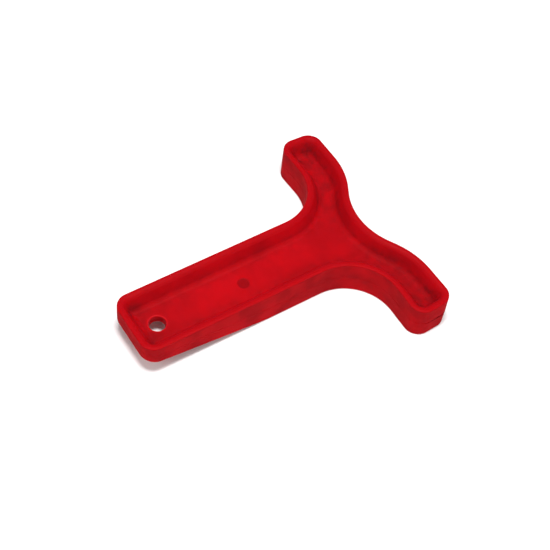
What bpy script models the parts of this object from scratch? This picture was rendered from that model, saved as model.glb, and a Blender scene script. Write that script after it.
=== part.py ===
"""Hand wrench for a fire hydrant: two moulded shells round a steel core plate.

Frame: metres, +X along the handle towards the claws, +Z up on the tray side, origin at the
middle of the overall box, on the plane that the head lies on. Lengths below are in
millimetres, and X positions there are counted from the free end of the handle.
"""
import math

import bmesh
import bpy
from mathutils import Vector

MM = 0.001

# Overall sizes
LENGTH = 172.0
HEAD_THICKNESS = 23.2
HANDLE_HALF_WIDTH = 21.0
CLAW_HALF_SPAN = 75.2
SLOPE_START = 77.0          # the underside is flat from here to the claws
SLOPE_RISE = 10.7           # and this much higher at the free end of the handle

# Outline corners, +Y half, from the free end to the front notch: x, y, corner radius
HANDLE_CORNER = (0.0, HANDLE_HALF_WIDTH, 9.0)
ARMPIT = (147.0, HANDLE_HALF_WIDTH, 30.0)
CLAW_REAR = (145.5, CLAW_HALF_SPAN, 9.0)
CLAW_FRONT = (LENGTH, 73.8, 9.0)
SHOULDER = (LENGTH, 36.5, 50.0)
NOTCH = (151.0, 0.0, 42.0)
ARC_STEP = math.radians(11.5)

# Mouldings
EDGE_ROUND = 0.9
GAP = 0.3                   # kept between pieces that touch
RIM_WIDTH = 3.0
TRAY_DEPTH = 9.4
TRAY_WALL_FOOT = 2.6        # height of the hollow curve at the foot of the tray wall
TRAY_WALL_MIDDLE_INSET = 4.2
TRAY_FLOOR_INSET = 6.5
LOWER_WALL = 2.7
LOWER_SKIN = 2.0
RIB_THICKNESS = 2.0

# Steel core
CORE_THICKNESS = 3.0
CORE_INSET = 4.0
CORE_REAR_END = 46.0

# Screws, driven from below: name, x, y, height of the outer end of the head, height of the tip
SCREWS = (
    ("screw_handle_end", 38.0, 0.0, 6.2, 12.6),
    ("screw_handle_middle", 75.0, 0.0, 1.2, 12.0),
    ("screw_head", 138.0, 0.0, 0.4, 12.0),
    ("screw_left_claw", 158.5, 56.0, 0.4, 12.0),
    ("screw_right_claw", 158.5, -56.0, 0.4, 12.0),
)
SCREW_HEAD_RADIUS = 3.5
SCREW_HEAD_HEIGHT = 2.0
SCREW_SHANK_RADIUS = 1.6
DRIVE_SLOT = (0.9, 4.0, 1.1)    # width, length and depth of each bar of the cross
SEAT_THICKNESS = 1.2
BOSS_RADIUS = 4.0
COUNTERBORE_RADIUS = 3.9

# Hanging hole, lined by a collar of the upper shell
HOLE_X = 18.0
HOLE_RADIUS = 5.0
HOLE_EDGE_ROUND = 0.8
COLLAR_RADIUS = 7.0
COLLAR_BOTTOM_Z = 9.2

# Ribs of the lower shell: the side nearer the handle's end, and the side nearer the middle
HANDLE_RIB_X = (56.0, 90.0, 106.0, 122.0)
CLAW_RIB_Y = (28.0, 42.0, 66.0)

RED_PLASTIC = ((0.54, 0.006, 0.009, 1.0), 0.34, 0.0)
CORE_STEEL = ((0.36, 0.37, 0.39, 1.0), 0.45, 1.0)
SCREW_ZINC = ((0.62, 0.63, 0.66, 1.0), 0.30, 1.0)

TRAY_FLOOR_Z = HEAD_THICKNESS - TRAY_DEPTH
SPLIT_Z = HEAD_THICKNESS / 2
CORE_TOP_Z = SPLIT_Z - GAP
RIB_TOP_Z = CORE_TOP_Z - CORE_THICKNESS - GAP
ROUND_STEPS = (1.0, 0.26, 0.0)  # insets of an edge's rounding, as parts of its size


def underside_z(x):
    """Height of the outer underside at x."""
    return SLOPE_RISE * max(0.0, 1.0 - x / SLOPE_START)


def joint_z(x):
    """Height of the joint between the shells: half the thickness, all the way round."""
    return (HEAD_THICKNESS + underside_z(x)) / 2


def outline_corners():
    """All corners of the outline, anticlockwise from above, starting at -Y."""
    slope_break = (SLOPE_START, HANDLE_HALF_WIDTH, 0.0)
    left = [HANDLE_CORNER, slope_break, ARMPIT, CLAW_REAR, CLAW_FRONT, SHOULDER]
    right = [(x, -y, radius) for x, y, radius in left]
    return right + [NOTCH] + left[::-1]


def offset_corner(before, corner, after, inset):
    """Moves a corner inwards with its two edges, and says which way the outline turns there."""
    incoming = (corner - before).normalized()
    outgoing = (after - corner).normalized()
    turn = incoming.cross(outgoing)
    normal_in = Vector((-incoming.y, incoming.x))
    normal_out = Vector((-outgoing.y, outgoing.x))
    bisector = (normal_in + normal_out).normalized()
    return corner + bisector * inset / bisector.dot(normal_in), turn


def outline(inset=0.0):
    """Points of the outline moved inwards by inset. Every inset gives the same point count."""
    corners = outline_corners()
    places = [Vector(corner[:2]) for corner in corners]
    count = len(corners)
    moved = [
        offset_corner(places[i - 1], places[i], places[(i + 1) % count], inset)
        for i in range(count)
    ]
    points = []
    for i, (corner, turn) in enumerate(moved):
        radius = corners[i][2]
        if radius == 0.0:
            points.append(corner)
            continue
        radius -= math.copysign(inset, turn)
        incoming = (corner - moved[i - 1][0]).normalized()
        outgoing = (moved[(i + 1) % count][0] - corner).normalized()
        angle = incoming.angle(outgoing)
        steps = max(3, round(angle / ARC_STEP))
        start = corner - incoming * radius * math.tan(angle / 2)
        side = math.copysign(1.0, turn)
        centre = start + Vector((-incoming.y, incoming.x)) * radius * side
        first = math.atan2(start.y - centre.y, start.x - centre.x)
        for step in range(steps + 1):
            bearing = first + side * angle * step / steps
            points.append(centre + Vector((math.cos(bearing), math.sin(bearing))) * radius)
    return points


def ring(inset, height):
    """One level of a loft: an inset outline at a height, a number or a function of x."""
    level = height if callable(height) else (lambda x: height)
    return [Vector((p.x, p.y, level(p.x))) for p in outline(inset)]


def placed(point):
    """A point from millimetres, counted from the handle's end, to the part's own frame."""
    return Vector((point[0] - LENGTH / 2, point[1], point[2])) * MM


def new_object(name, mesh_builder):
    mesh = bpy.data.meshes.new(name)
    bm = bmesh.new()
    mesh_builder(bm)
    bmesh.ops.recalc_face_normals(bm, faces=bm.faces)
    bm.to_mesh(mesh)
    bm.free()
    item = bpy.data.objects.new(name, mesh)
    bpy.context.collection.objects.link(item)
    return item


def lofted(name, rings):
    """A closed solid through level rings, lowest first. Its caps fold where the slope starts."""
    break_indices = [i for i, p in enumerate(outline()) if abs(p.x - SLOPE_START) < 1e-6]
    first, last = break_indices

    def build(bm):
        loops = [[bm.verts.new(placed(p)) for p in level] for level in rings]
        count = len(loops[0])
        for low, high in zip(loops, loops[1:]):
            for i in range(count):
                j = (i + 1) % count
                bm.faces.new((low[i], low[j], high[j], high[i]))
        for loop in (loops[0], loops[-1]):
            bm.faces.new(loop[first:last + 1])
            bm.faces.new(loop[last:] + loop[:first + 1])

    return new_object(name, build)


def turned(name, x, y, profile, segments=32):
    """A solid of revolution about a vertical line; profile runs up the outside as (radius, z)."""
    def build(bm):
        loops = []
        for radius, z in profile:
            loops.append([
                bm.verts.new(placed((
                    x + radius * math.cos(math.tau * i / segments),
                    y + radius * math.sin(math.tau * i / segments),
                    z,
                )))
                for i in range(segments)
            ])
        for low, high in zip(loops, loops[1:]):
            for i in range(segments):
                j = (i + 1) % segments
                bm.faces.new((low[i], low[j], high[j], high[i]))
        bm.faces.new(loops[0])
        bm.faces.new(loops[-1])

    return new_object(name, build)


def block(name, low, high):
    """A box between two corners."""
    def build(bm):
        bmesh.ops.create_cube(bm, size=1.0)
        size = [(b - a) * MM for a, b in zip(low, high)]
        middle = placed([(a + b) / 2 for a, b in zip(low, high)])
        bmesh.ops.scale(bm, vec=size, verts=bm.verts)
        bmesh.ops.translate(bm, vec=middle, verts=bm.verts)

    return new_object(name, build)


def side_profile(name, points, half_width=100.0):
    """A solid drawn from the side, as (x, z) points, and drawn out to both sides."""
    def build(bm):
        near = bm.faces.new([bm.verts.new(placed((x, -half_width, z))) for x, z in points])
        drawn = bmesh.ops.extrude_face_region(bm, geom=[near])
        verts = [item for item in drawn["geom"] if isinstance(item, bmesh.types.BMVert)]
        bmesh.ops.translate(bm, vec=(0.0, 2 * half_width * MM, 0.0), verts=verts)

    return new_object(name, build)


def combine(target, tool, operation):
    """Adds or cuts one solid with another, and removes the tool."""
    tool.hide_render = True
    tool.display_type = "WIRE"
    modifier = target.modifiers.new(tool.name, "BOOLEAN")
    modifier.operation = operation
    modifier.solver = "EXACT"
    modifier.object = tool
    evaluated = target.evaluated_get(bpy.context.evaluated_depsgraph_get())
    mesh = bpy.data.meshes.new_from_object(evaluated)
    target.modifiers.clear()
    old = target.data
    target.data = mesh
    bpy.data.meshes.remove(old)
    bpy.data.objects.remove(tool)


def join(target, tool):
    combine(target, tool, "UNION")


def cut(target, tool):
    combine(target, tool, "DIFFERENCE")


def finish(item, material_name, finish_values):
    """Gives a piece its material and shades its round surfaces smooth."""
    colour, roughness, metallic = finish_values
    material = bpy.data.materials.get(material_name)
    if material is None:
        material = bpy.data.materials.new(material_name)
        material.use_nodes = True
        shader = material.node_tree.nodes["Principled BSDF"]
        shader.inputs["Base Color"].default_value = colour
        shader.inputs["Roughness"].default_value = roughness
        shader.inputs["Metallic"].default_value = metallic
    item.data.name = item.name
    item.data.materials.clear()
    item.data.materials.append(material)
    item.data.shade_smooth()
    item.data.set_sharp_from_angle(angle=math.radians(28))


def hole_profile():
    """Outside of the hanging hole's cutter, with both of its edges rounded, lowest first."""
    rounding = [(HOLE_RADIUS + HOLE_EDGE_ROUND * out, HOLE_EDGE_ROUND * up)
                for out, up in zip(ROUND_STEPS, ROUND_STEPS[::-1])]
    bottom = [(radius, COLLAR_BOTTOM_Z + height) for radius, height in rounding]
    top = [(radius, TRAY_FLOOR_Z - height) for radius, height in rounding[::-1]]
    widest = HOLE_RADIUS + HOLE_EDGE_ROUND
    return [(widest, COLLAR_BOTTOM_Z - 1.0)] + bottom + top + [(widest, TRAY_FLOOR_Z + 1.0)]


def upper_shell():
    """Rim, tray, the collar of the hanging hole and the bosses that the screws bite into."""
    rounding = [(EDGE_ROUND * part, EDGE_ROUND * back) for part, back in
                zip(ROUND_STEPS[::-1], ROUND_STEPS)]
    wall = [ring(0.0, joint_z)]
    wall += [ring(inset, HEAD_THICKNESS - drop) for inset, drop in rounding]
    shell = lofted("upper_shell", wall)
    pan_inset = LOWER_WALL + GAP
    join(shell, lofted("pan", [ring(pan_inset, SPLIT_Z), ring(pan_inset, TRAY_FLOOR_Z + 6.0)]))
    cut(shell, lofted("tray", [
        ring(TRAY_FLOOR_INSET, TRAY_FLOOR_Z),
        ring(TRAY_WALL_MIDDLE_INSET, TRAY_FLOOR_Z + TRAY_WALL_FOOT),
        ring(RIM_WIDTH, HEAD_THICKNESS),
        ring(RIM_WIDTH, HEAD_THICKNESS + 2.0),
    ]))
    for name, x, y, head_z, tip_z in SCREWS:
        foot = head_z + SCREW_HEAD_HEIGHT + SEAT_THICKNESS + 2 * GAP
        join(shell, turned("boss", x, y, [(BOSS_RADIUS, foot), (BOSS_RADIUS, SPLIT_Z + 1.0)]))
        bore = SCREW_SHANK_RADIUS + GAP
        cut(shell, turned("pilot", x, y, [(bore, foot - 1.0), (bore, tip_z + GAP)], 24))
    join(shell, turned("collar", HOLE_X, 0.0, [
        (COLLAR_RADIUS, COLLAR_BOTTOM_Z), (COLLAR_RADIUS, SPLIT_Z + 1.0),
    ]))
    cut(shell, turned("hanging_hole", HOLE_X, 0.0, hole_profile()))
    finish(shell, "red_moulded_plastic", RED_PLASTIC)


def cavity():
    """Hollow of the lower shell. Its floor follows the underside but stays below the tray."""
    top = SPLIT_Z - GAP
    flat_end = SLOPE_START * (1.0 - (top - LOWER_SKIN) / SLOPE_RISE)
    hollow = lofted("cavity", [ring(LOWER_WALL, 0.0), ring(LOWER_WALL, 30.0)])
    cut(hollow, side_profile("floor", [
        (-5.0, -5.0), (LENGTH + 5.0, -5.0), (LENGTH + 5.0, LOWER_SKIN),
        (SLOPE_START, LOWER_SKIN), (flat_end, top), (-5.0, top),
    ]))
    return hollow


def ribs():
    """Cross ribs that hold the core plate up, trimmed to end inside the wall."""
    foot = LOWER_SKIN / 2
    corners = []
    for x in HANDLE_RIB_X:
        low = (x, -HANDLE_HALF_WIDTH, underside_z(x) + foot)
        corners.append((low, (x + RIB_THICKNESS, HANDLE_HALF_WIDTH, RIB_TOP_Z)))
    for y in CLAW_RIB_Y:
        for low_y in (y, -y - RIB_THICKNESS):
            low = (ARMPIT[0] - HANDLE_HALF_WIDTH, low_y, foot)
            corners.append((low, (LENGTH, low_y + RIB_THICKNESS, RIB_TOP_Z)))
    frame = block("ribs", *corners[0])
    for low, high in corners[1:]:
        join(frame, block("rib", low, high))
    inset = LOWER_WALL / 2
    trim = lofted("trim", [ring(inset, -1.0), ring(inset, HEAD_THICKNESS)])
    combine(frame, trim, "INTERSECT")
    return frame


def lower_shell():
    """Base and outer wall, with ribs under the core plate and seats for the screw heads."""
    shell = lofted("lower_shell", [
        ring(EDGE_ROUND * inset, lambda x, rise=rise: underside_z(x) + EDGE_ROUND * rise)
        for inset, rise in zip(ROUND_STEPS, ROUND_STEPS[::-1])
    ] + [ring(0.0, lambda x: joint_z(x) - GAP)])
    cut(shell, cavity())
    join(shell, ribs())
    for name, x, y, head_z, tip_z in SCREWS:
        seat_z = head_z + SCREW_HEAD_HEIGHT + GAP
        outer = BOSS_RADIUS + LOWER_SKIN
        foot = underside_z(x - outer) + LOWER_SKIN / 2
        join(shell, turned("seat", x, y, [(outer, foot), (outer, seat_z + SEAT_THICKNESS)]))
        clearance = SCREW_SHANK_RADIUS + GAP
        cut(shell, turned("counterbore", x, y, [
            (COUNTERBORE_RADIUS, -2.0), (COUNTERBORE_RADIUS, seat_z),
            (clearance, seat_z), (clearance, seat_z + 3.0),
        ]))
    clear_of_collar = COLLAR_RADIUS + GAP
    cut(shell, turned("collar_hole", HOLE_X, 0.0, [
        (clear_of_collar, 2.0), (clear_of_collar, SPLIT_Z + 2.0),
    ]))
    finish(shell, "red_moulded_plastic", RED_PLASTIC)


def core_plate():
    """Flat steel plate under the tray, holed round the upper shell's bosses."""
    bottom = CORE_TOP_Z - CORE_THICKNESS
    plate = lofted("core_plate", [ring(CORE_INSET, bottom), ring(CORE_INSET, CORE_TOP_Z)])
    cut(plate, block("short_end", (-5.0, -40.0, 0.0), (CORE_REAR_END, 40.0, 30.0)))
    for name, x, y, *heights in SCREWS:
        hole = BOSS_RADIUS + GAP
        cut(plate, turned("boss_hole", x, y, [(hole, 0.0), (hole, 20.0)]))
    finish(plate, "laser_cut_steel", CORE_STEEL)


def screw(name, x, y, head_z, tip_z):
    """Pan-head screw, head down, with a cross recess."""
    head_top = head_z + SCREW_HEAD_HEIGHT
    item = turned(name, x, y, [
        (SCREW_HEAD_RADIUS - 0.5, head_z), (SCREW_HEAD_RADIUS, head_z + 0.6),
        (SCREW_HEAD_RADIUS, head_top), (SCREW_SHANK_RADIUS, head_top),
        (SCREW_SHANK_RADIUS, tip_z - 1.5), (0.5, tip_z),
    ], 24)
    width, length, depth = DRIVE_SLOT
    for half_x, half_y in ((width / 2, length / 2), (length / 2, width / 2)):
        low = (x - half_x, y - half_y, head_z - 1.0)
        cut(item, block("drive", low, (x + half_x, y + half_y, head_z + depth)))
    finish(item, "zinc_plated_steel", SCREW_ZINC)


def main():
    for item in list(bpy.data.objects):
        bpy.data.objects.remove(item)
    upper_shell()
    lower_shell()
    core_plate()
    for details in SCREWS:
        screw(*details)


main()
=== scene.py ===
"""Looks of a hand wrench for a fire hydrant: red moulded shells, steel core plate and screws.

The pieces are worked out in millimetres, with X counted from the free end of the handle, as on a
drawing of the wrench; placed() turns a point into the frame's metres. The settings, the finishes and
the studio are in metres.
"""
import math

import bmesh
import bpy
from bpy.props import FloatProperty, FloatVectorProperty, PointerProperty
from mathutils import Matrix, Vector


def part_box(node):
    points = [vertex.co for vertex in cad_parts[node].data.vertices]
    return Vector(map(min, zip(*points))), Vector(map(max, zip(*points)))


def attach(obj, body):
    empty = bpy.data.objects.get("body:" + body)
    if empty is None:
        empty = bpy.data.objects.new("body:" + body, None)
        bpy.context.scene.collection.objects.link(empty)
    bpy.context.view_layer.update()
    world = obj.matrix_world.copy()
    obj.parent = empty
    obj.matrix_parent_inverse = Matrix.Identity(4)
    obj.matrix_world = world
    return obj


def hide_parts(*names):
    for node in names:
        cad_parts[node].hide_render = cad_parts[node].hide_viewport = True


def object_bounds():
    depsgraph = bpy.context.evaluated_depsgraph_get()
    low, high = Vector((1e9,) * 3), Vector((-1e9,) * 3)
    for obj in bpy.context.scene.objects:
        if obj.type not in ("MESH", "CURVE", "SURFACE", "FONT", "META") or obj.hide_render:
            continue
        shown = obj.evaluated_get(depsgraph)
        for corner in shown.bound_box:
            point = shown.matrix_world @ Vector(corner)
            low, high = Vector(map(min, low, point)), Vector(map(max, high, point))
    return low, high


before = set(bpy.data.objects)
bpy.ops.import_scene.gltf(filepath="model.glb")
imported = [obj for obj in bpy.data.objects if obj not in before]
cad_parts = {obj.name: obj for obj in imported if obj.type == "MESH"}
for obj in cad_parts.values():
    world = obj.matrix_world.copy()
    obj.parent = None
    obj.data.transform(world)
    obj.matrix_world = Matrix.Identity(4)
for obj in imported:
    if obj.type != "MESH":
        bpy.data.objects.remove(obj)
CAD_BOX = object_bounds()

bl_info = {
    "name": "Hydrant wrench",
    "version": (1, 0, 0),
    "blender": (4, 5, 0),
    "location": "3D View > Sidebar > Wrench",
    "description": "Builds the fine surfaces and finishes of a moulded hydrant wrench",
    "category": "Object",
}

MM = 0.001
BODY = "root"

# Overall sizes, from the frame
LENGTH = (CAD_BOX[1].x - CAD_BOX[0].x) / MM
HEAD_THICKNESS = CAD_BOX[1].z / MM

# Outline corners, +Y half, from the free end to the front notch: x, y, corner radius
HANDLE_HALF_WIDTH = 21.0
OUTLINE = (
    (0.0, HANDLE_HALF_WIDTH, 9.0),
    (147.0, HANDLE_HALF_WIDTH, 30.0),
    (145.5, 75.2, 9.0),
    (LENGTH, 73.8, 9.0),
    (LENGTH, 36.5, 50.0),
    (151.0, 0.0, 42.0),
)
ARC_STEP = math.radians(3.0)
SHARPEST_CORNER = 0.6       # of the outline, once it is moved inwards
SAME_PLACE = 1e-6
FACE_CLEARANCE = 0.02       # keeps the finely stepped corners inside the frame's box
SLOPE_START = 77.0
SLOPE_RISE = 10.7
SLOPE_BLEND = 8.0           # the bend in the underside is eased over this much to each side
BLEND_STEPS = 8

# Inside sizes
SPLIT_Z = HEAD_THICKNESS / 2
PAN_DROP = 0.1              # the tray's underside stands this much proud of the joint
LOWER_WALL = 2.7
LAP_GAP = 0.3
LOWER_SKIN = 2.0
RIB_THICKNESS = 2.0
HANDLE_RIB_X = (56.0, 90.0, 106.0, 122.0)
CLAW_RIB_Y = (28.0, 42.0, 66.0)
CORE_THICKNESS = 3.0
CORE_TOP_Z = SPLIT_Z - LAP_GAP
CORE_INSET = 4.0
CORE_REAR_END = 46.0
CORE_CHAMFER = 0.25
RIB_TOP_Z = CORE_TOP_Z - CORE_THICKNESS - LAP_GAP

# Screws, driven from below: CAD node, x, y
SCREWS = (
    ("screw_handle_end", 38.0, 0.0),
    ("screw_handle_middle", 75.0, 0.0),
    ("screw_head", 138.0, 0.0),
    ("screw_left_claw", 158.5, 56.0),
    ("screw_right_claw", 158.5, -56.0),
)
SCREW_HEAD_RADIUS = 3.5
SCREW_HEAD_HEIGHT = 2.0
SCREW_CORE_RADIUS = 1.25
SCREW_THREAD_RADIUS = 1.75
SCREW_PITCH = 1.3
SCREW_SEGMENTS = 40
CROWN_RISE = 1.3            # of the domed head
CROWN_STEPS = 5
HEAD_CHAMFER = 0.1
NECK_LENGTH = 0.4           # plain stretch past the head, which the thread grows out of
CROSS_RADIUS = 0.7          # each bar of the cross recess is a square spike, stretched
CROSS_TIP_RADIUS = 0.15
CROSS_DEPTH = 1.5
CROSS_STRETCH = (2.6, 0.62)
THREAD_STEPS = 10           # levels in one turn
THREAD_OFFSET = 0.1         # from the head to the thread's first level
THREAD_START = 0.6          # the thread grows to full height over this much
THREAD_RUN_OUT = 1.6        # and fades over this much at the tip
TIP_LENGTH = 1.2
TIP_SHARE = 0.35            # of the core's radius, left at the tip
SEAT_THICKNESS = 1.2
BOSS_RADIUS = 4.0
BORE_RADIUS = 1.9
COUNTERBORE_RADIUS = 3.9
SEAT_CUT_START = -2.0       # of the cutter for a screw's seat, under the wrench
SEAT_CUT_REACH = 3.0        # above the seat, into the hollow

# Where the joint has sprung open: right claw's front corner
SPRUNG_X = LENGTH - 2.0
SPRUNG_Y = -72.0
SPRUNG_REACH = 22.0

# Hanging hole
HOLE_X = 18.0
HOLE_SEGMENTS = 96
HOLE_END_ROUND = 0.3        # at its lower edge
COLLAR_RADIUS = 7.0
COLLAR_BOTTOM_Z = 9.2
COLLAR_CUT_START = 2.0      # of the lower shell's cutter, under the raised underside
COLLAR_CUT_END = SPLIT_Z + 2.0

# Mark over the handle's middle screw
SINK_X = 75.0

# How solids are made
ROUND_SEGMENTS = 72
SHARP_ANGLE = math.radians(32)
OVERLAP = 1.0               # how far a joined solid sinks in, or a cutter stands past a face
CLEAR_END = 5.0             # how far the large cutters stand past the wrench's ends
TALL = 30.0                 # above everything
WIDE = 40.0                 # to each side, past the core plate at the handle

# Studio: what the camera and the lights point at, on the drawing, and the rest in metres
AIM = (95.2, -2.6, 11.5)
SENSOR_WIDTH = 36.0         # of the camera, in millimetres
FLOOR_REACH = 3.0           # to each side
SOFTBOXES = (               # name, size, place, and the setting that holds its power
    ("key_softbox", (0.3, 0.3), (-0.05, -0.07, 1.0), "key"),
    ("front_softbox", (0.5, 0.4), (0.04, -0.86, 0.5), "fill"),
    ("side_softbox", (0.4, 0.4), (-0.76, -0.1, 0.65), "side"),
)


def linear(hex_colour):
    """Linear RGBA of an sRGB hex colour."""
    channels = [int(hex_colour[i:i + 2], 16) / 255 for i in (1, 3, 5)]
    return tuple(c / 12.92 if c <= 0.04045 else ((c + 0.055) / 1.055) ** 2.4 for c in channels) + (1.0,)


def darker(colour, share):
    """A colour with a share of its light left."""
    return tuple(share * c for c in colour[:3]) + (1.0,)


def length_setting(name, description, millimetres):
    """A length, with its default in millimetres."""
    return FloatProperty(name=name, description=description, default=millimetres * MM, min=0.0,
                         unit="LENGTH", precision=5)


def colour_setting(name, description, hex_colour):
    """A colour, with its default in sRGB hex."""
    return FloatVectorProperty(name=name, description=description, default=linear(hex_colour),
                               size=4, min=0.0, max=1.0, subtype="COLOR")


class WrenchSizes(bpy.types.PropertyGroup):
    """Fine sizes of the mouldings, which the CAD model leaves plain."""
    rim_width: length_setting("Rim width", "Width of the raised rim, with its inner rounding", 5.2)
    tray_depth: length_setting("Tray depth", "Depth of the tray below the rim", 9.4)
    tray_foot: length_setting("Tray foot radius", "Hollow radius between the tray's wall and floor", 4.0)
    outer_round: length_setting("Outer edge radius", "Rounding of the outer edges", 0.9)
    inner_round: length_setting("Inner edge radius", "Rounding of the rim's inner edge", 3.6)
    draft: length_setting("Draft", "How far each outer wall leans in from the joint to its edge", 0.15)
    joint_round: length_setting("Joint rounding", "Rounding of the two edges at the joint line", 0.14)
    joint_gap: length_setting("Joint gap", "Opening between the shells at the joint line", 0.05)
    sprung_gap: length_setting("Sprung joint", "Opening at the right claw's front corner", 1.4)
    hole_radius: length_setting("Hole radius", "Radius of the hanging hole", 5.0)
    hole_round: length_setting("Hole rounding", "Rounding of the hanging hole's edges", 0.8)
    hole_draft: length_setting("Hole draft", "How much the hole narrows downwards, each side", 0.45)
    sink_radius: length_setting("Sink mark radius", "Radius of the mark over the middle screw", 3.9)
    sink_depth: length_setting("Sink mark depth", "Depth of that mark", 0.25)
    tray_slope: FloatProperty(name="Tray wall slope", description="Lean of the tray's wall from upright",
                              default=math.radians(25.0), subtype="ANGLE", unit="ROTATION")


class WrenchColours(bpy.types.PropertyGroup):
    """Colours of the finishes."""
    plastic: colour_setting("Plastic", "Main red of the mouldings", "#B00711")
    # Also the rim's painted shade
    plastic_deep: colour_setting("Plastic, deeper", "Deeper red of pigment clouds and of the rim", "#9C060F")
    plastic_mark: colour_setting("Plastic, mark", "Red of the sink mark", "#8A070F")
    # Painted highlight: the pale ring round the hanging hole's upper edge
    plastic_worn: colour_setting("Plastic, worn", "Paler red of the hole's rubbed edge", "#C21B24")
    # Also the colour that the painted shade in the hollow corners and the sprung joint turns to
    grime: colour_setting("Grime", "Dull red-brown of dirt in the corners and of smudges", "#700C12")
    steel: colour_setting("Steel", "Laser-cut steel of the core plate", "#7F8287")
    zinc: colour_setting("Zinc", "Zinc plate of the screws", "#B9BDC4")
    ground: colour_setting("Ground", "Pale studio floor", "#F4F4F4")


class WrenchStage(bpy.types.PropertyGroup):
    """Camera and lights."""
    azimuth: FloatProperty(name="Azimuth", description="Camera's bearing round the wrench",
                           default=math.radians(-38.78), subtype="ANGLE", unit="ROTATION")
    elevation: FloatProperty(name="Elevation", description="Camera's height angle",
                             default=math.radians(53.11), subtype="ANGLE", unit="ROTATION")
    roll: FloatProperty(name="Roll", description="Turn of the camera about its own line of sight",
                        default=math.radians(7.65), subtype="ANGLE", unit="ROTATION")
    distance: length_setting("Distance", "Camera to the point it looks at", 708.8)
    lens: FloatProperty(name="Lens", description="Focal length on a 36 mm sensor",
                        default=79.25, unit="CAMERA")
    sky: FloatProperty(name="Sky", description="Strength of the even light from all round",
                       default=0.3)
    key: FloatProperty(name="Key light", description="Power of the overhead softbox",
                       default=11.0, unit="POWER")
    side: FloatProperty(name="Side light", description="Power of the softbox off the handle's end",
                        default=1.9, unit="POWER")
    fill: FloatProperty(name="Fill light", description="Power of the softbox at the front",
                        default=2.7, unit="POWER")


def smooth_slope(x):
    """Height of the outer underside at x, eased through the bend."""
    slope = SLOPE_RISE / SLOPE_START
    run = SLOPE_START - x
    if run <= -SLOPE_BLEND:
        return 0.0
    if run >= SLOPE_BLEND:
        return slope * run
    return slope * (run + SLOPE_BLEND) ** 2 / (4 * SLOPE_BLEND)


def joint_z(x):
    """Height of the joint between the shells: half the thickness, all the way round."""
    return (HEAD_THICKNESS + smooth_slope(x)) / 2


def bend_stations():
    """X places where the outline gets a point on both long sides, so that the bend can follow."""
    step = 2 * SLOPE_BLEND / BLEND_STEPS
    return [SLOPE_START - SLOPE_BLEND + step * i for i in range(BLEND_STEPS + 1)]


def outline_corners():
    """All corners of the outline, anticlockwise from above, starting at -Y."""
    bends = [(x, HANDLE_HALF_WIDTH, 0.0) for x in bend_stations()]
    left = [OUTLINE[0], *bends, *OUTLINE[1:-1]]
    right = [(x, -y, radius) for x, y, radius in left]
    return right + [OUTLINE[-1]] + left[::-1]


def offset_corner(before, corner, after, inset):
    """Moves a corner inwards with its two edges, and says which way the outline turns there."""
    incoming = (corner - before).normalized()
    outgoing = (after - corner).normalized()
    turn = incoming.cross(outgoing)
    normal_in = Vector((-incoming.y, incoming.x))
    normal_out = Vector((-outgoing.y, outgoing.x))
    bisector = (normal_in + normal_out).normalized()
    return corner + bisector * inset / bisector.dot(normal_in), turn


def outline(inset=0.0):
    """Points of the outline moved inwards by inset. Every inset gives the same point count."""
    corners = outline_corners()
    places = [Vector(corner[:2]) for corner in corners]
    count = len(corners)
    moved = [
        offset_corner(places[i - 1], places[i], places[(i + 1) % count], inset)
        for i in range(count)
    ]
    points = []
    for i, (corner, turn) in enumerate(moved):
        radius = corners[i][2]
        if radius == 0.0:
            points.append(corner)
            continue
        radius = max(radius - math.copysign(inset, turn), SHARPEST_CORNER)
        incoming = (corner - moved[i - 1][0]).normalized()
        outgoing = (moved[(i + 1) % count][0] - corner).normalized()
        angle = incoming.angle(outgoing)
        steps = max(3, round(angle / ARC_STEP))
        start = corner - incoming * radius * math.tan(angle / 2)
        side = math.copysign(1.0, turn)
        centre = start + Vector((-incoming.y, incoming.x)) * radius * side
        first = math.atan2(start.y - centre.y, start.x - centre.x)
        for step in range(steps + 1):
            bearing = first + side * angle * step / steps
            points.append(centre + Vector((math.cos(bearing), math.sin(bearing))) * radius)
    return points


def ring(inset, height):
    """One level of a loft: an inset outline at a height, a number or a function of x and y."""
    level = height if callable(height) else (lambda x, y: height)
    return [Vector((p.x, p.y, level(p.x, p.y))) for p in outline(inset)]


def arc(centre, radius, first, last, steps):
    """Points of an arc, from one angle in degrees to another."""
    angles = [math.radians(first + (last - first) * i / steps) for i in range(steps + 1)]
    return [(centre[0] + radius * math.cos(a), centre[1] + radius * math.sin(a)) for a in angles]


def placed(point):
    """A point from the drawing's millimetres to the frame's metres."""
    return Vector((point[0] - LENGTH / 2, point[1], point[2])) * MM


def new_object(name, mesh_builder):
    """An object whose mesh is filled in by a function, with its faces turned outwards."""
    mesh = bpy.data.meshes.new(name)
    bm = bmesh.new()
    mesh_builder(bm)
    bmesh.ops.recalc_face_normals(bm, faces=bm.faces)
    bm.to_mesh(mesh)
    bm.free()
    item = bpy.data.objects.new(name, mesh)
    bpy.context.scene.collection.objects.link(item)
    return item


def bridge(bm, loops):
    """Joins each loop of points to the next with four-sided faces."""
    count = len(loops[0])
    for low, high in zip(loops, loops[1:]):
        for i in range(count):
            j = (i + 1) % count
            bm.faces.new((low[i], low[j], high[j], high[i]))


def lofted(name, rings):
    """A closed solid through level rings, lowest first, with caps in strips that follow the bend."""
    flat = outline()
    stations = bend_stations()

    def corner_at(x, side):
        return next(i for i, p in enumerate(flat) if p.y * side > 0 and abs(p.x - x) < SAME_PLACE)

    right = [corner_at(x, -1) for x in stations]
    left = [corner_at(x, 1) for x in stations]

    def build(bm):
        loops = [[bm.verts.new(placed(p)) for p in level] for level in rings]
        bridge(bm, loops)
        for loop in (loops[0], loops[-1]):
            bm.faces.new(loop[left[0]:] + loop[:right[0] + 1])
            for i in range(len(stations) - 1):
                bm.faces.new((loop[right[i]], loop[right[i + 1]], loop[left[i + 1]], loop[left[i]]))
            bm.faces.new(loop[right[-1]:left[-1] + 1])

    return new_object(name, build)


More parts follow.
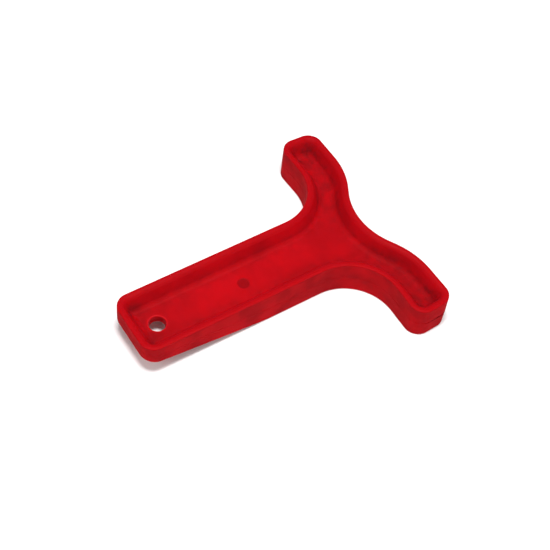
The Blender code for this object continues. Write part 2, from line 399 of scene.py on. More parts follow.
def turned(name, x, y, profile, segments=ROUND_SEGMENTS):
    """A solid of revolution about a vertical line; profile runs up the outside as (radius, z)."""
    def build(bm):
        loops = [
            [
                bm.verts.new(placed((
                    x + radius * math.cos(math.tau * i / segments),
                    y + radius * math.sin(math.tau * i / segments),
                    z,
                )))
                for i in range(segments)
            ]
            for radius, z in profile
        ]
        bridge(bm, loops)
        bm.faces.new(loops[0])
        bm.faces.new(loops[-1])

    return new_object(name, build)


def block(name, low, high):
    """A box between two corners."""
    def build(bm):
        bmesh.ops.create_cube(bm, size=1.0)
        size = [(b - a) * MM for a, b in zip(low, high)]
        middle = placed([(a + b) / 2 for a, b in zip(low, high)])
        bmesh.ops.scale(bm, vec=size, verts=bm.verts)
        bmesh.ops.translate(bm, vec=middle, verts=bm.verts)

    return new_object(name, build)


def side_profile(name, points, half_width=100.0):
    """A solid drawn from the side, as (x, z) points, and drawn out to both sides."""
    def build(bm):
        near = bm.faces.new([bm.verts.new(placed((x, -half_width, z))) for x, z in points])
        drawn = bmesh.ops.extrude_face_region(bm, geom=[near])
        verts = [item for item in drawn["geom"] if isinstance(item, bmesh.types.BMVert)]
        bmesh.ops.translate(bm, vec=(0.0, 2 * half_width * MM, 0.0), verts=verts)

    return new_object(name, build)


def combine(target, tool, operation):
    """Adds, cuts or keeps the common part of one solid with another, and removes the tool."""
    modifier = target.modifiers.new(tool.name, "BOOLEAN")
    modifier.operation = operation
    modifier.solver = "EXACT"
    modifier.object = tool
    bpy.context.view_layer.update()
    evaluated = target.evaluated_get(bpy.context.evaluated_depsgraph_get())
    mesh = bpy.data.meshes.new_from_object(evaluated)
    target.modifiers.clear()
    old = target.data
    target.data = mesh
    bpy.data.meshes.remove(old)
    bpy.data.objects.remove(tool)
    if not mesh.polygons:
        raise RuntimeError(f"{target.name} came out empty")


def join(target, tool):
    """Adds the tool to the target."""
    combine(target, tool, "UNION")


def cut(target, tool):
    """Takes the tool out of the target."""
    combine(target, tool, "DIFFERENCE")


def finish_piece(item, material, node):
    """Shading, finish, and the CAD node that the piece stands for."""
    item.data.materials.clear()
    item.data.materials.append(material)
    item.data.shade_smooth()
    item.data.set_sharp_from_angle(angle=SHARP_ANGLE)
    weighted = item.modifiers.new("flat faces stay flat", "WEIGHTED_NORMAL")
    weighted.mode = "FACE_AREA"
    weighted.weight = 100
    weighted.keep_sharp = True
    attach(item, BODY)
    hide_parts(node)


def screw_heights(node):
    """Heights of a screw's head and tip, from its CAD node."""
    low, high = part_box(node)
    return low.z / MM, high.z / MM


# Finishes


def add_node(tree, kind, settings=None, inputs=None):
    """Adds a shader node, sets its properties and values, and links inputs that are sockets."""
    node = tree.nodes.new(kind)
    for name, value in (settings or {}).items():
        setattr(node, name, value)
    for name, value in (inputs or {}).items():
        socket = node.inputs[name]
        if isinstance(value, bpy.types.NodeSocket):
            tree.links.new(value, socket)
        else:
            socket.default_value = value
    return node


def new_material(name):
    """A material with its node tree and its shader."""
    material = bpy.data.materials.new(name)
    material.use_nodes = True
    tree = material.node_tree
    return material, tree, tree.nodes["Principled BSDF"]


def red_moulded_abs(colours, sizes):
    """ABS, injection moulded and long in use: a satin skin that waves a little on wide faces, pigment that
    lies in faint clouds, a deeper red painted on the rim as shade, a pale ring painted round the hanging
    hole's upper edge as a highlight, fine scratches, painted shade in the hollow corners and the sprung
    joint, and smudges."""
    if "red_moulded_abs" in bpy.data.materials:
        return bpy.data.materials["red_moulded_abs"]
    material, tree, shader = new_material("red_moulded_abs")
    place = add_node(tree, "ShaderNodeTexCoord").outputs["Object"]
    flat_place = add_node(tree, "ShaderNodeVectorMath", {"operation": "MULTIPLY"}, {
        0: place, 1: (1, 1, 0)}).outputs["Vector"]
    height = add_node(tree, "ShaderNodeSeparateXYZ", inputs={0: place}).outputs["Z"]
    from_hole = add_node(tree, "ShaderNodeVectorMath", {"operation": "DISTANCE"}, {
        0: flat_place, 1: placed((HOLE_X, 0.0, 0.0))}).outputs["Value"]
    # Cloudy pigment: patches about 25 mm across
    cloud = add_node(tree, "ShaderNodeTexNoise", inputs={
        "Vector": place, "Scale": 1 / (25 * MM), "Detail": 3.0, "Roughness": 0.55}).outputs["Fac"]
    clean = plastic_pigment(tree, colours, sizes, cloud, flat_place, height)
    handled = plastic_wear(tree, colours, sizes, clean, from_hole, height)
    # Painted shade in the hollow corners and the sprung joint, and smudges, turn the colour towards the dull
    # red-brown
    hollow_dirt = add_node(tree, "ShaderNodeMath", {"operation": "MAXIMUM"}, {
        0: corner_dirt(tree, sizes, place, from_hole), 1: joint_dirt(tree, flat_place, height)})
    dirt = add_node(tree, "ShaderNodeMath", {"operation": "MAXIMUM"}, {
        0: hollow_dirt.outputs["Value"], 1: grip_smudges(tree, place)}).outputs["Value"]
    surface = add_node(tree, "ShaderNodeMix", {"data_type": "RGBA"}, {
        "Factor": dirt, "A": handled, "B": colours.grime})
    tree.links.new(surface.outputs["Result"], shader.inputs["Base Color"])
    tree.links.new(plastic_roughness(tree, place, cloud, dirt), shader.inputs["Roughness"])
    tree.links.new(plastic_relief(tree, place), shader.inputs["Normal"])
    # Hardly any white sheen lies over the red; new ABS would have a level of 0.5
    shader.inputs["IOR"].default_value = 1.53
    shader.inputs["Specular IOR Level"].default_value = 0.025
    # The red lets some light through: 3.5 mm deep for red, far less for the rest
    shader.inputs["Subsurface Weight"].default_value = 0.6
    shader.inputs["Subsurface Radius"].default_value = (1.0, 0.1, 0.08)
    shader.inputs["Subsurface Scale"].default_value = 3.5 * MM
    return material


def plastic_pigment(tree, colours, sizes, cloud, flat_place, height):
    """The clean plastic's colour: cloudy pigment, and the mark over the handle's middle screw."""
    cloud_share = add_node(tree, "ShaderNodeMapRange", {"interpolation_type": "SMOOTHSTEP"}, {
        "Value": cloud, "From Min": 0.35, "From Max": 0.7, "To Min": 0.0, "To Max": 1.0})
    pigment = add_node(tree, "ShaderNodeMix", {"data_type": "RGBA"}, {
        "Factor": cloud_share.outputs["Result"], "A": colours.plastic, "B": colours.plastic_deep})
    from_mark = add_node(tree, "ShaderNodeVectorMath", {"operation": "DISTANCE"}, {
        0: flat_place, 1: placed((SINK_X, 0.0, 0.0))})
    in_mark = add_node(tree, "ShaderNodeMapRange", {"interpolation_type": "SMOOTHSTEP"}, {
        "Value": from_mark.outputs["Value"], "From Min": sizes.sink_radius * 0.75,
        "From Max": sizes.sink_radius * 1.15, "To Min": 1.0, "To Max": 0.0})
    # Only on the tray's floor, not below it
    on_top = add_node(tree, "ShaderNodeMath", {"operation": "GREATER_THAN"}, {
        0: height, 1: (SPLIT_Z + 1.0) * MM})
    mark_share = add_node(tree, "ShaderNodeMath", {"operation": "MULTIPLY"}, {
        0: in_mark.outputs["Result"], 1: on_top.outputs["Value"]})
    marked = add_node(tree, "ShaderNodeMix", {"data_type": "RGBA"}, {
        "Factor": mark_share.outputs["Value"], "A": pigment.outputs["Result"], "B": colours.plastic_mark})
    return marked.outputs["Result"]


def plastic_wear(tree, colours, sizes, clean, from_hole, height):
    """The colour with a painted highlight, a pale ring round the hanging hole's upper edge, and painted
    shade, the rim a deeper red.
    """
    # Painted highlight: a pale ring just outside the hanging hole, near the tray floor
    at_edge = add_node(tree, "ShaderNodeMapRange", {"interpolation_type": "SMOOTHSTEP"}, {
        "Value": from_hole, "From Min": sizes.hole_radius + 0.4 * MM,
        "From Max": sizes.hole_radius + 1.1 * MM, "To Min": 0.55, "To Max": 0.0})
    near_floor = add_node(tree, "ShaderNodeMapRange", {"interpolation_type": "SMOOTHSTEP"}, {
        "Value": height, "From Min": HEAD_THICKNESS * MM - sizes.tray_depth - 3.0 * MM,
        "From Max": HEAD_THICKNESS * MM - sizes.tray_depth - 0.5 * MM, "To Min": 0.0, "To Max": 1.0})
    worn_share = add_node(tree, "ShaderNodeMath", {"operation": "MULTIPLY"}, {
        0: at_edge.outputs["Result"], 1: near_floor.outputs["Result"]})
    worn = add_node(tree, "ShaderNodeMix", {"data_type": "RGBA"}, {
        "Factor": worn_share.outputs["Value"], "A": clean, "B": colours.plastic_worn})
    # Painted shade: the rim, from 2.5 mm below its top upwards, is painted a deeper red
    at_rim = add_node(tree, "ShaderNodeMapRange", {"interpolation_type": "SMOOTHSTEP"}, {
        "Value": height, "From Min": (HEAD_THICKNESS - 2.5) * MM,
        "From Max": (HEAD_THICKNESS - 0.5) * MM, "To Min": 0.0, "To Max": 0.8})
    handled = add_node(tree, "ShaderNodeMix", {"data_type": "RGBA"}, {
        "Factor": at_rim.outputs["Result"], "A": worn.outputs["Result"], "B": colours.plastic_deep})
    return handled.outputs["Result"]


def corner_dirt(tree, sizes, place, from_hole):
    """Share of painted shade in the hollow corners, up to 14 mm out from them, broken up in patches of 5 mm,
    with a trace on open faces and none in the hanging hole."""
    # Painted shade: an ambient occlusion node darkens the colour where the surface is closed in
    openness = add_node(tree, "ShaderNodeAmbientOcclusion", {"samples": 12, "only_local": True}, {
        "Distance": 14 * MM})
    hollow_share = add_node(tree, "ShaderNodeMapRange", inputs={
        "Value": openness.outputs["AO"], "From Min": 0.6, "From Max": 0.95, "To Min": 1.0, "To Max": 0.08})
    patches = add_node(tree, "ShaderNodeTexNoise", inputs={
        "Vector": place, "Scale": 1 / (5 * MM), "Detail": 4.0, "Roughness": 0.6})
    patch_share = add_node(tree, "ShaderNodeMapRange", inputs={
        "Value": patches.outputs["Fac"], "From Min": 0.35, "From Max": 0.62, "To Min": 0.3, "To Max": 1.0})
    gathered = add_node(tree, "ShaderNodeMath", {"operation": "MULTIPLY"}, {
        0: hollow_share.outputs["Result"], 1: patch_share.outputs["Result"]})
    off_hole = add_node(tree, "ShaderNodeMapRange", {"interpolation_type": "SMOOTHSTEP"}, {
        "Value": from_hole, "From Min": sizes.hole_radius + 0.5 * MM,
        "From Max": sizes.hole_radius + 2.5 * MM, "To Min": 0.0, "To Max": 1.0})
    kept = add_node(tree, "ShaderNodeMath", {"operation": "MULTIPLY"}, {
        0: gathered.outputs["Value"], 1: off_hole.outputs["Result"]})
    return kept.outputs["Value"]


def joint_dirt(tree, flat_place, height):
    """Share of painted shade in the joint where it has sprung open. The lower shell has dropped away there,
    so the opening's middle is taken as 0.6 mm below the joint."""
    # Painted shade: the open joint near the right claw's front corner is darkened
    above_middle = add_node(tree, "ShaderNodeMath", {"operation": "SUBTRACT"}, {
        0: height, 1: (SPLIT_Z - 0.6) * MM})
    from_middle = add_node(tree, "ShaderNodeMath", {"operation": "ABSOLUTE"}, {
        0: above_middle.outputs["Value"]})
    at_joint = add_node(tree, "ShaderNodeMapRange", {"interpolation_type": "SMOOTHSTEP"}, {
        "Value": from_middle.outputs["Value"], "From Min": 0.5 * MM, "From Max": 1.1 * MM,
        "To Min": 1.0, "To Max": 0.0})
    from_corner = add_node(tree, "ShaderNodeVectorMath", {"operation": "DISTANCE"}, {
        0: flat_place, 1: placed((SPRUNG_X, SPRUNG_Y, 0.0))})
    at_corner = add_node(tree, "ShaderNodeMapRange", {"interpolation_type": "SMOOTHSTEP"}, {
        "Value": from_corner.outputs["Value"], "From Min": 0.4 * SPRUNG_REACH * MM,
        "From Max": SPRUNG_REACH * MM, "To Min": 1.0, "To Max": 0.0})
    packed = add_node(tree, "ShaderNodeMath", {"operation": "MULTIPLY"}, {
        0: at_joint.outputs["Result"], 1: at_corner.outputs["Result"]})
    return packed.outputs["Value"]


def grip_smudges(tree, place):
    """Share of smudges from gloved hands, about 12 mm across, on the sides and the underside."""
    facing = add_node(tree, "ShaderNodeSeparateXYZ", inputs={
        0: add_node(tree, "ShaderNodeNewGeometry").outputs["Normal"]})
    off_top = add_node(tree, "ShaderNodeMapRange", inputs={
        "Value": facing.outputs["Z"], "From Min": 0.2, "From Max": 0.6, "To Min": 0.32, "To Max": 0.0})
    smudges = add_node(tree, "ShaderNodeTexNoise", inputs={
        "Vector": place, "Scale": 1 / (12 * MM), "Detail": 4.0, "Roughness": 0.6})
    smudge_share = add_node(tree, "ShaderNodeMapRange", {"interpolation_type": "SMOOTHSTEP"}, {
        "Value": smudges.outputs["Fac"], "From Min": 0.42, "From Max": 0.62, "To Min": 0.0, "To Max": 1.0})
    rubbed_in = add_node(tree, "ShaderNodeMath", {"operation": "MULTIPLY"}, {
        0: off_top.outputs["Result"], 1: smudge_share.outputs["Result"]})
    return rubbed_in.outputs["Value"]


def plastic_roughness(tree, place, cloud, dirt):
    """Satin of 0.4 to 0.5, which follows the pigment's clouds. Scratches are rougher, and so are the places
    of painted shade and smudges.
    """
    # Scratches about 10 mm long and 0.7 mm wide, along the handle. The turn comes after the stretch,
    # so it only takes them off the noise's own grid
    long_place = add_node(tree, "ShaderNodeMapping", inputs={
        "Vector": place, "Rotation": (0.0, 0.0, math.radians(17)), "Scale": (1.0, 14.0, 14.0)})
    cells = add_node(tree, "ShaderNodeTexNoise", inputs={
        "Vector": long_place.outputs["Vector"], "Scale": 1 / (10 * MM), "Detail": 1.0})
    scratch = add_node(tree, "ShaderNodeMapRange", inputs={
        "Value": cells.outputs["Fac"], "From Min": 0.66, "From Max": 0.72, "To Min": 0.0, "To Max": 1.0})
    satin = add_node(tree, "ShaderNodeMapRange", inputs={
        "Value": cloud, "From Min": 0.3, "From Max": 0.7, "To Min": 0.4, "To Max": 0.5})
    scratched = add_node(tree, "ShaderNodeMath", {"operation": "MULTIPLY_ADD"}, {
        0: scratch.outputs["Result"], 1: 0.12, 2: satin.outputs["Result"]})
    dirtied = add_node(tree, "ShaderNodeMath", {"operation": "MULTIPLY_ADD"}, {
        0: dirt, 1: 0.3, 2: scratched.outputs["Value"]})
    return dirtied.outputs["Value"]


def plastic_relief(tree, place):
    """Waves of 9 mm from uneven shrinkage, and a 0.8 mm grain, drawn coarser than real so it shows."""
    waves = add_node(tree, "ShaderNodeTexNoise", inputs={
        "Vector": place, "Scale": 1 / (9 * MM), "Detail": 2.0, "Roughness": 0.4})
    grain = add_node(tree, "ShaderNodeTexNoise", inputs={
        "Vector": place, "Scale": 1 / (0.8 * MM), "Detail": 2.0, "Roughness": 0.5})
    wave_bump = add_node(tree, "ShaderNodeBump", inputs={
        "Height": waves.outputs["Fac"], "Strength": 0.5, "Distance": 0.25 * MM})
    grain_bump = add_node(tree, "ShaderNodeBump", inputs={
        "Height": grain.outputs["Fac"], "Strength": 0.25, "Distance": 0.02 * MM,
        "Normal": wave_bump.outputs["Normal"]})
    return grain_bump.outputs["Normal"]


def laser_cut_steel(colours):
    """Mild steel plate, pickled and laser cut: dull grey with a rolled grain along its length."""
    material, tree, shader = new_material("laser_cut_steel")
    place = add_node(tree, "ShaderNodeTexCoord").outputs["Object"]
    stretched = add_node(tree, "ShaderNodeMapping", inputs={"Vector": place, "Scale": (0.04, 1.0, 1.0)})
    # Rolling lines 0.5 mm apart
    lines = add_node(tree, "ShaderNodeTexNoise", inputs={
        "Vector": stretched.outputs["Vector"], "Scale": 1 / (0.5 * MM), "Detail": 3.0})
    tint = add_node(tree, "ShaderNodeMix", {"data_type": "RGBA"}, {
        "Factor": lines.outputs["Fac"], "A": colours.steel, "B": darker(colours.steel, 0.6)})
    rough = add_node(tree, "ShaderNodeMapRange", inputs={
        "Value": lines.outputs["Fac"], "From Min": 0.3, "From Max": 0.7, "To Min": 0.38, "To Max": 0.55})
    bump = add_node(tree, "ShaderNodeBump", inputs={
        "Height": lines.outputs["Fac"], "Strength": 0.4, "Distance": 0.02 * MM})
    tree.links.new(tint.outputs["Result"], shader.inputs["Base Color"])
    tree.links.new(rough.outputs["Result"], shader.inputs["Roughness"])
    tree.links.new(bump.outputs["Normal"], shader.inputs["Normal"])
    shader.inputs["Metallic"].default_value = 1.0
    return material


def zinc_plated_steel(colours):
    """Steel screws, bright zinc plated: pale blue-grey, with a cloudy passivated skin."""
    material, tree, shader = new_material("zinc_plated_steel")
    place = add_node(tree, "ShaderNodeTexCoord").outputs["Object"]
    # Cloudy patches about 1.5 mm across
    cloud = add_node(tree, "ShaderNodeTexNoise", inputs={
        "Vector": place, "Scale": 1 / (1.5 * MM), "Detail": 3.0})
    tint = add_node(tree, "ShaderNodeMix", {"data_type": "RGBA"}, {
        "Factor": cloud.outputs["Fac"], "A": colours.zinc, "B": darker(colours.zinc, 0.8)})
    rough = add_node(tree, "ShaderNodeMapRange", inputs={
        "Value": cloud.outputs["Fac"], "From Min": 0.3, "From Max": 0.7, "To Min": 0.22, "To Max": 0.36})
    tree.links.new(tint.outputs["Result"], shader.inputs["Base Color"])
    tree.links.new(rough.outputs["Result"], shader.inputs["Roughness"])
    shader.inputs["Metallic"].default_value = 1.0
    return material


def matt_white_board(colours):
    """Painted board, matt white, with a faint 2 mm grain."""
    material, tree, shader = new_material("matt_white_board")
    place = add_node(tree, "ShaderNodeTexCoord").outputs["Object"]
    grain = add_node(tree, "ShaderNodeTexNoise", inputs={"Vector": place, "Scale": 1 / (2 * MM)})
    tint = add_node(tree, "ShaderNodeMix", {"data_type": "RGBA"}, {
        "Factor": grain.outputs["Fac"], "A": colours.ground, "B": darker(colours.ground, 0.98)})
    tree.links.new(tint.outputs["Result"], shader.inputs["Base Color"])
    shader.inputs["Roughness"].default_value = 0.9
    return material


# Pieces


class InMillimetres:
    """The size settings, read in the drawing's millimetres."""
    def __init__(self, sizes):
        self.sizes = sizes

    def __getattr__(self, name):
        return getattr(self.sizes, name) / MM


def tray_stations(s, slope):
    """Rim and tray from the outer wall's top to the floor, as (inset, z), round the edges."""
    top = HEAD_THICKNESS
    lean = math.degrees(slope)
    outer = arc((s.draft + s.outer_round, top - s.outer_round), s.outer_round, 180, 90, steps=7)
    inner = arc((s.rim_width - s.inner_round, top - s.inner_round), s.inner_round, 90, lean, steps=10)
    lip_inset, lip_z = inner[-1]
    foot_z = top - s.tray_depth + s.tray_foot
    foot_inset = lip_inset + (s.tray_foot - (foot_z - lip_z) * math.sin(slope)) / math.cos(slope)
    foot = arc((foot_inset, foot_z), s.tray_foot, 180 + lean, 270, steps=10)
    return outer + inner + foot


def joint_opening(s, x, y):
    """Gap between the shells: tight, and sprung open at the right claw's front corner."""
    away = math.hypot(x - SPRUNG_X, y - SPRUNG_Y) / SPRUNG_REACH
    return s.joint_gap + s.sprung_gap * max(0.0, 1.0 - away)


def make_upper_shell(sizes, material):
    """The moulding with the rim and tray, the screw bosses, the hanging hole and the mark."""
    s = InMillimetres(sizes)
    pan_inset = LOWER_WALL + LAP_GAP
    rings = [ring(pan_inset, SPLIT_Z - PAN_DROP), ring(pan_inset, lambda x, y: joint_z(x))]
    joint_centre = (s.joint_round + FACE_CLEARANCE, s.joint_round)
    for inset, rise in arc(joint_centre, s.joint_round, 270, 180, steps=3):
        rings.append(ring(inset, lambda x, y, rise=rise: joint_z(x) + rise))
    rings += [ring(inset, z) for inset, z in tray_stations(s, sizes.tray_slope)]
    shell = lofted("upper_shell_moulding", rings)
    floor_z = HEAD_THICKNESS - s.tray_depth
    for node, x, y in SCREWS:
        head_z, tip_z = screw_heights(node)
        foot = head_z + SCREW_HEAD_HEIGHT + SEAT_THICKNESS + 2 * LAP_GAP
        join(shell, turned("boss", x, y, [(BOSS_RADIUS, foot), (BOSS_RADIUS, SPLIT_Z + OVERLAP)]))
        cut(shell, turned("pilot", x, y, [
            (BORE_RADIUS, foot - OVERLAP), (BORE_RADIUS, tip_z + LAP_GAP)]))
    join(shell, turned("collar", HOLE_X, 0.0, [
        (COLLAR_RADIUS, COLLAR_BOTTOM_Z), (COLLAR_RADIUS, SPLIT_Z + OVERLAP)]))
    cut(shell, turned("hanging_hole", HOLE_X, 0.0, hole_profile(s, floor_z), HOLE_SEGMENTS))
    cut(shell, turned("sink_mark", SINK_X, 0.0, [
        (s.sink_radius - 1.2, floor_z - s.sink_depth),
        (s.sink_radius - 0.4, floor_z - 0.6 * s.sink_depth),
        (s.sink_radius, floor_z),
        (s.sink_radius, floor_z + OVERLAP)]))
    finish_piece(shell, material, "upper_shell")


def hole_profile(s, floor_z):
    """Outside of the hanging hole's cutter, with both of its edges rounded, lowest first."""
    low, high = HOLE_END_ROUND, s.hole_round
    bottom = arc((s.hole_radius - s.hole_draft + low, COLLAR_BOTTOM_Z + low), low, 270, 180, steps=4)
    top = arc((s.hole_radius + high, floor_z - high), high, 180, 90, steps=6)
    below = (bottom[0][0], COLLAR_BOTTOM_Z - OVERLAP)
    above = (top[-1][0], floor_z + OVERLAP)
    return [below, *bottom, *top, above]


def cavity():
    """Hollow of the lower shell. Its floor follows the underside but stays below the tray."""
    top = SPLIT_Z - LAP_GAP
    flat_end = SLOPE_START * (1.0 - (top - LOWER_SKIN) / SLOPE_RISE)
    hollow = lofted("cavity", [ring(LOWER_WALL, 0.0), ring(LOWER_WALL, TALL)])
    bend = [(x, smooth_slope(x) + LOWER_SKIN) for x in reversed(bend_stations())]
    rear, front = -CLEAR_END, LENGTH + CLEAR_END
    cut(hollow, side_profile("floor", [
        (rear, -CLEAR_END), (front, -CLEAR_END), (front, LOWER_SKIN),
        *bend, (flat_end, top), (rear, top)]))
    return hollow


def ribs():
    """Cross ribs that hold the core plate up, trimmed to end inside the wall."""
    foot = LOWER_SKIN / 2
    corners = []
    for x in HANDLE_RIB_X:
        low = (x, -HANDLE_HALF_WIDTH, smooth_slope(x) + foot)
        corners.append((low, (x + RIB_THICKNESS, HANDLE_HALF_WIDTH, RIB_TOP_Z)))
    for y in CLAW_RIB_Y:
        for low_y in (y, -y - RIB_THICKNESS):
            low = (OUTLINE[1][0] - HANDLE_HALF_WIDTH, low_y, foot)
            corners.append((low, (LENGTH, low_y + RIB_THICKNESS, RIB_TOP_Z)))
    grid = block("ribs", *corners[0])
    for low, high in corners[1:]:
        join(grid, block("rib", low, high))
    inset = LOWER_WALL / 2
    combine(grid, lofted("trim", [ring(inset, -OVERLAP), ring(inset, HEAD_THICKNESS)]), "INTERSECT")
    return grid


def make_lower_shell(sizes, material):
    """The hollow moulding below, with its ribs, its screw seats and the opening for the collar."""
    s = InMillimetres(sizes)
    rings = []
    edge_centre = (s.draft + s.outer_round, s.outer_round)
    for inset, rise in arc(edge_centre, s.outer_round, 270, 180, steps=7):
        rings.append(ring(inset, lambda x, y, rise=rise: smooth_slope(x) + rise))
    joint_centre = (s.joint_round + FACE_CLEARANCE, -s.joint_round)
    for inset, drop in arc(joint_centre, s.joint_round, 180, 90, steps=3):
        rings.append(ring(inset, lambda x, y, drop=drop: joint_z(x) - joint_opening(s, x, y) + drop))
    shell = lofted("lower_shell_moulding", rings)
    cut(shell, cavity())
    join(shell, ribs())
    for node, x, y in SCREWS:
        seat_z = screw_heights(node)[0] + SCREW_HEAD_HEIGHT + LAP_GAP
        outer = BOSS_RADIUS + LOWER_SKIN
        foot = smooth_slope(x - outer) + LOWER_SKIN / 2
        join(shell, turned("seat", x, y, [(outer, foot), (outer, seat_z + SEAT_THICKNESS)]))
        cut(shell, turned("counterbore", x, y, [
            (COUNTERBORE_RADIUS, SEAT_CUT_START), (COUNTERBORE_RADIUS, seat_z),
            (BORE_RADIUS, seat_z), (BORE_RADIUS, seat_z + SEAT_CUT_REACH)]))
    clear_of_collar = COLLAR_RADIUS + LAP_GAP
    cut(shell, turned("collar_hole", HOLE_X, 0.0, [
        (clear_of_collar, COLLAR_CUT_START), (clear_of_collar, COLLAR_CUT_END)]))
    finish_piece(shell, material, "lower_shell")


def make_core_plate(material):
    """Flat plate with a slight chamfer, cut short at the rear and holed round the bosses."""
    bottom = CORE_TOP_Z - CORE_THICKNESS
    plate = lofted("core_plate_steel", [
        ring(CORE_INSET + CORE_CHAMFER, bottom),
        ring(CORE_INSET, bottom + CORE_CHAMFER),
        ring(CORE_INSET, CORE_TOP_Z - CORE_CHAMFER),
        ring(CORE_INSET + CORE_CHAMFER, CORE_TOP_Z)])
    cut(plate, block("short_end", (-CLEAR_END, -WIDE, 0.0), (CORE_REAR_END, WIDE, TALL)))
    hole = BOSS_RADIUS + LAP_GAP
    # The plate ends short of the screw at the handle's end
    for node, x, y in SCREWS[1:]:
        cut(plate, turned("boss_hole", x, y, [(hole, 0.0), (hole, HEAD_THICKNESS)]))
    finish_piece(plate, material, "core_plate")


def make_screw(node, x, y, material):
    """Pan-head screw, head down, with a cut thread and a tapered cross recess."""
    head_z, tip_z = screw_heights(node)
    head_top = head_z + SCREW_HEAD_HEIGHT
    crown_angles = [math.radians(90 / CROWN_STEPS * i) for i in range(1, CROWN_STEPS + 1)]
    crown = [(SCREW_HEAD_RADIUS * math.sin(a), head_z + CROWN_RISE * (1 - math.cos(a)))
             for a in crown_angles]
    screw = turned(node + "_detail", x, y, crown + [
        (SCREW_HEAD_RADIUS, head_top - HEAD_CHAMFER), (SCREW_HEAD_RADIUS - HEAD_CHAMFER, head_top),
        (SCREW_CORE_RADIUS, head_top), (SCREW_CORE_RADIUS, head_top + NECK_LENGTH)], SCREW_SEGMENTS)
    for turn in (0.0, math.pi / 2):
        cut(screw, cross_bar(x, y, head_z, turn))
    join(screw, thread(x, y, head_top, tip_z))
    finish_piece(screw, material, node)


def cross_bar(x, y, head_z, turn):
    """One of the two bars that cut the cross recess: a square spike, longer one way than the other."""
    bar = turned("cross", x, y, [
        (CROSS_RADIUS, head_z - OVERLAP), (CROSS_RADIUS, head_z),
        (CROSS_TIP_RADIUS, head_z + CROSS_DEPTH)], 4)
    spread = Matrix.Rotation(turn, 4, "Z") @ Matrix.Diagonal((*CROSS_STRETCH, 1.0, 1.0))
    centre = Matrix.Translation(placed((x, y, 0.0)))
    bar.data.transform(centre @ spread @ Matrix.Rotation(math.pi / 4, 4, "Z") @ centre.inverted())
    return bar


def thread(x, y, head_top, tip_z):
    """The threaded shank, from just past the head to its tapered tip."""
    start = head_top + THREAD_OFFSET
    run = tip_z - head_top
    count = max(2, round(run / SCREW_PITCH * THREAD_STEPS))

    def level(bm, z):
        fade = min(1.0, (tip_z - z) / THREAD_RUN_OUT, (z - head_top) / THREAD_START)
        taper = TIP_SHARE + (1.0 - TIP_SHARE) * min(1.0, (tip_z - z) / TIP_LENGTH)
        loop = []
        for i in range(SCREW_SEGMENTS):
            phase = (z / SCREW_PITCH - i / SCREW_SEGMENTS) % 1.0
            crest = max(0.0, 1.0 - abs(phase - 0.5) * 4.0)
            radius = SCREW_CORE_RADIUS * taper + (SCREW_THREAD_RADIUS - SCREW_CORE_RADIUS) * crest * fade
            angle = math.tau * i / SCREW_SEGMENTS
            loop.append(bm.verts.new(placed((
                x + radius * math.cos(angle), y + radius * math.sin(angle), z))))
        return loop

    def build(bm):
        loops = [level(bm, start + (run - THREAD_OFFSET) * k / count) for k in range(count + 1)]
        bridge(bm, loops)
        bm.faces.new(loops[0])
        bm.faces.new(loops[-1])

    return new_object("thread", build)


# Stage


def softbox(name, size, place, aim, power):
    """A rectangular area light, turned towards the aim."""
    light = bpy.data.lights.new(name, "AREA")
    light.shape = "RECTANGLE"
    light.size, light.size_y = size
    light.energy = power
    item = bpy.data.objects.new(name, light)
    bpy.context.scene.collection.objects.link(item)
    item.location = place
    item.rotation_euler = (Vector(aim) - Vector(place)).to_track_quat("-Z", "Y").to_euler()


def make_world(strength):
    """Even white light from all round, shown without a film-like tone curve."""
    scene = bpy.context.scene
    scene.view_settings.view_transform = "Standard"
    world = bpy.data.worlds.new("studio")
    world.use_nodes = True
    background = world.node_tree.nodes["Background"]
    background.inputs["Color"].default_value = (1.0, 1.0, 1.0, 1.0)
    background.inputs["Strength"].default_value = strength
    scene.world = world


def make_floor(colours):
    """The floor that the wrench lies on. It isn't seen in gloss, so the wrench doesn't mirror it."""
    def plane(bm):
        bmesh.ops.create_grid(bm, x_segments=1, y_segments=1, size=FLOOR_REACH)

    floor = new_object("studio_floor", plane)
    floor.data.materials.append(matt_white_board(colours))
    floor.visible_glossy = False


def make_camera(stage, aim):
    """The camera, on a bearing and height angle round the aim."""
    camera = bpy.data.objects.new("camera", bpy.data.cameras.new("camera"))
    bpy.context.scene.collection.objects.link(camera)
    camera.data.lens = stage.lens
    camera.data.sensor_width = SENSOR_WIDTH
    camera.data.clip_start = 0.01
    back = Vector((
        math.sin(stage.azimuth) * math.cos(stage.elevation),
        -math.cos(stage.azimuth) * math.cos(stage.elevation),
        math.sin(stage.elevation),
    ))
    level = (-back).to_track_quat("-Z", "Y").to_matrix()
    turn = level @ Matrix.Rotation(stage.roll, 3, "Z")
    camera.matrix_world = Matrix.Translation(aim + back * stage.distance) @ turn.to_4x4()
    bpy.context.scene.camera = camera


def make_stage(stage, colours):
    """Floor, even light, softboxes and camera."""
    aim = placed(AIM)
    make_world(stage.sky)
    make_floor(colours)
    for name, size, place, setting in SOFTBOXES:
        softbox(name, size, place, aim, getattr(stage, setting))
    make_camera(stage, aim)


# Operators


class WRENCH_OT_upper_shell(bpy.types.Operator):
    """Builds the upper shell with its rim, tray and hanging hole"""
    bl_idname = "wrench.upper_shell"
    bl_label = "Upper shell"

    def execute(self, context):
        scene = context.scene
        make_upper_shell(scene.wrench_sizes, red_moulded_abs(scene.wrench_colours, scene.wrench_sizes))
        return {"FINISHED"}


class WRENCH_OT_lower_shell(bpy.types.Operator):
    """Builds the lower shell with its ribs and screw seats"""
    bl_idname = "wrench.lower_shell"
    bl_label = "Lower shell"

    def execute(self, context):
        scene = context.scene
        make_lower_shell(scene.wrench_sizes, red_moulded_abs(scene.wrench_colours, scene.wrench_sizes))
        return {"FINISHED"}


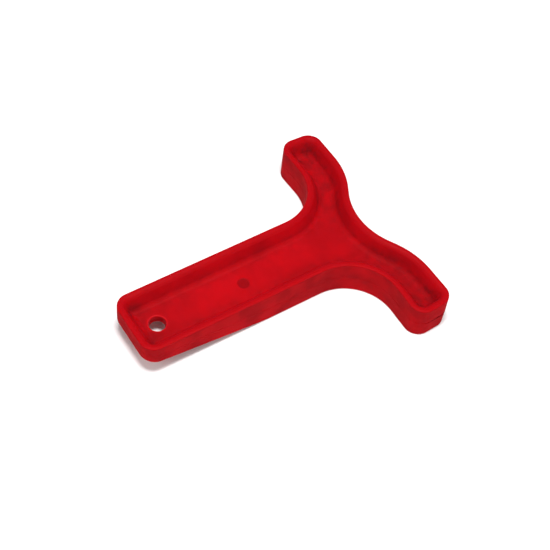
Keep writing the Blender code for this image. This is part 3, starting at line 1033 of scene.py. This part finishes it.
class WRENCH_OT_core_plate(bpy.types.Operator):
    """Builds the steel plate inside the shells"""
    bl_idname = "wrench.core_plate"
    bl_label = "Core plate"

    def execute(self, context):
        make_core_plate(laser_cut_steel(context.scene.wrench_colours))
        return {"FINISHED"}


class WRENCH_OT_screws(bpy.types.Operator):
    """Builds the screws that hold the shells together"""
    bl_idname = "wrench.screws"
    bl_label = "Screws"

    def execute(self, context):
        material = zinc_plated_steel(context.scene.wrench_colours)
        for node, x, y in SCREWS:
            make_screw(node, x, y, material)
        return {"FINISHED"}


class WRENCH_OT_stage(bpy.types.Operator):
    """Sets up the floor, the lights and the camera"""
    bl_idname = "wrench.stage"
    bl_label = "Stage"

    def execute(self, context):
        make_stage(context.scene.wrench_stage, context.scene.wrench_colours)
        return {"FINISHED"}


STEPS = (WRENCH_OT_upper_shell, WRENCH_OT_lower_shell, WRENCH_OT_core_plate, WRENCH_OT_screws,
         WRENCH_OT_stage)


class WRENCH_PT_panel(bpy.types.Panel):
    """Lists the wrench's settings and steps"""
    bl_idname = "WRENCH_PT_panel"
    bl_label = "Hydrant wrench"
    bl_space_type = "VIEW_3D"
    bl_region_type = "UI"
    bl_category = "Wrench"

    def draw(self, context):
        scene = context.scene
        for settings in (scene.wrench_sizes, scene.wrench_colours, scene.wrench_stage):
            box = self.layout.box()
            for name in settings.__annotations__:
                box.prop(settings, name)
        for step in STEPS:
            self.layout.operator(step.bl_idname)


CLASSES = (WrenchSizes, WrenchColours, WrenchStage, *STEPS, WRENCH_PT_panel)


def register():
    for item in CLASSES:
        bpy.utils.register_class(item)
    bpy.types.Scene.wrench_sizes = PointerProperty(type=WrenchSizes)
    bpy.types.Scene.wrench_colours = PointerProperty(type=WrenchColours)
    bpy.types.Scene.wrench_stage = PointerProperty(type=WrenchStage)


def unregister():
    del bpy.types.Scene.wrench_stage
    del bpy.types.Scene.wrench_colours
    del bpy.types.Scene.wrench_sizes
    for item in reversed(CLASSES):
        bpy.utils.unregister_class(item)


def main():
    register()
    bpy.ops.wrench.upper_shell()
    bpy.ops.wrench.lower_shell()
    bpy.ops.wrench.core_plate()
    bpy.ops.wrench.screws()
    bpy.ops.wrench.stage()


if __name__ == "__main__":
    main()
